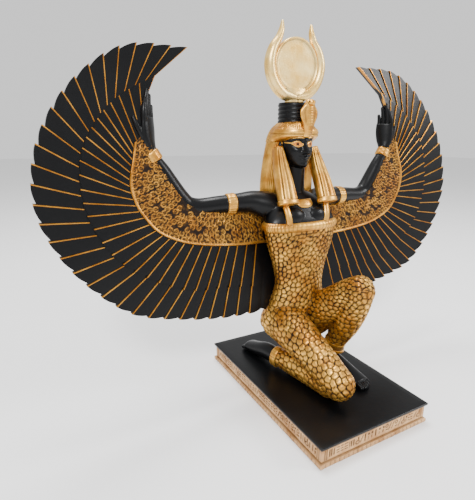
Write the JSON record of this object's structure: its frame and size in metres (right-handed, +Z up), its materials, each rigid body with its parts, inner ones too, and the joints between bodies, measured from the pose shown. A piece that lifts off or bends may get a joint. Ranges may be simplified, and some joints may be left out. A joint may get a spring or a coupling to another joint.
{
  "type": "kneeling winged isis statue",
  "caption": "Kneeling winged goddess figure in black and gold cast resin, arms spread along two feathered wings, horned sun disc on the head, on an oblong carved plinth.",
  "frame": {"origin": "centre of the plinth's underside", "axes": "+Z up, the figure faces -Y, +X is the figure's left, along the wing span"},
  "size_m": [0.5352, 0.22, 0.4038],
  "materials": {
    "black_resin": "satin black paint over cast resin",
    "gold_resin": "antique metallic gold paint, satin, brown in the recesses",
    "pale_gold_resin": "bright metallic gold paint, satin"
  },
  "bodies": {
    "root": {"plinth": "black_resin", "figure": "gold_resin", "wing_right": "black_resin", "wing_left": "black_resin", "horned_disc": "pale_gold_resin"}
  },
  "joints": []
}
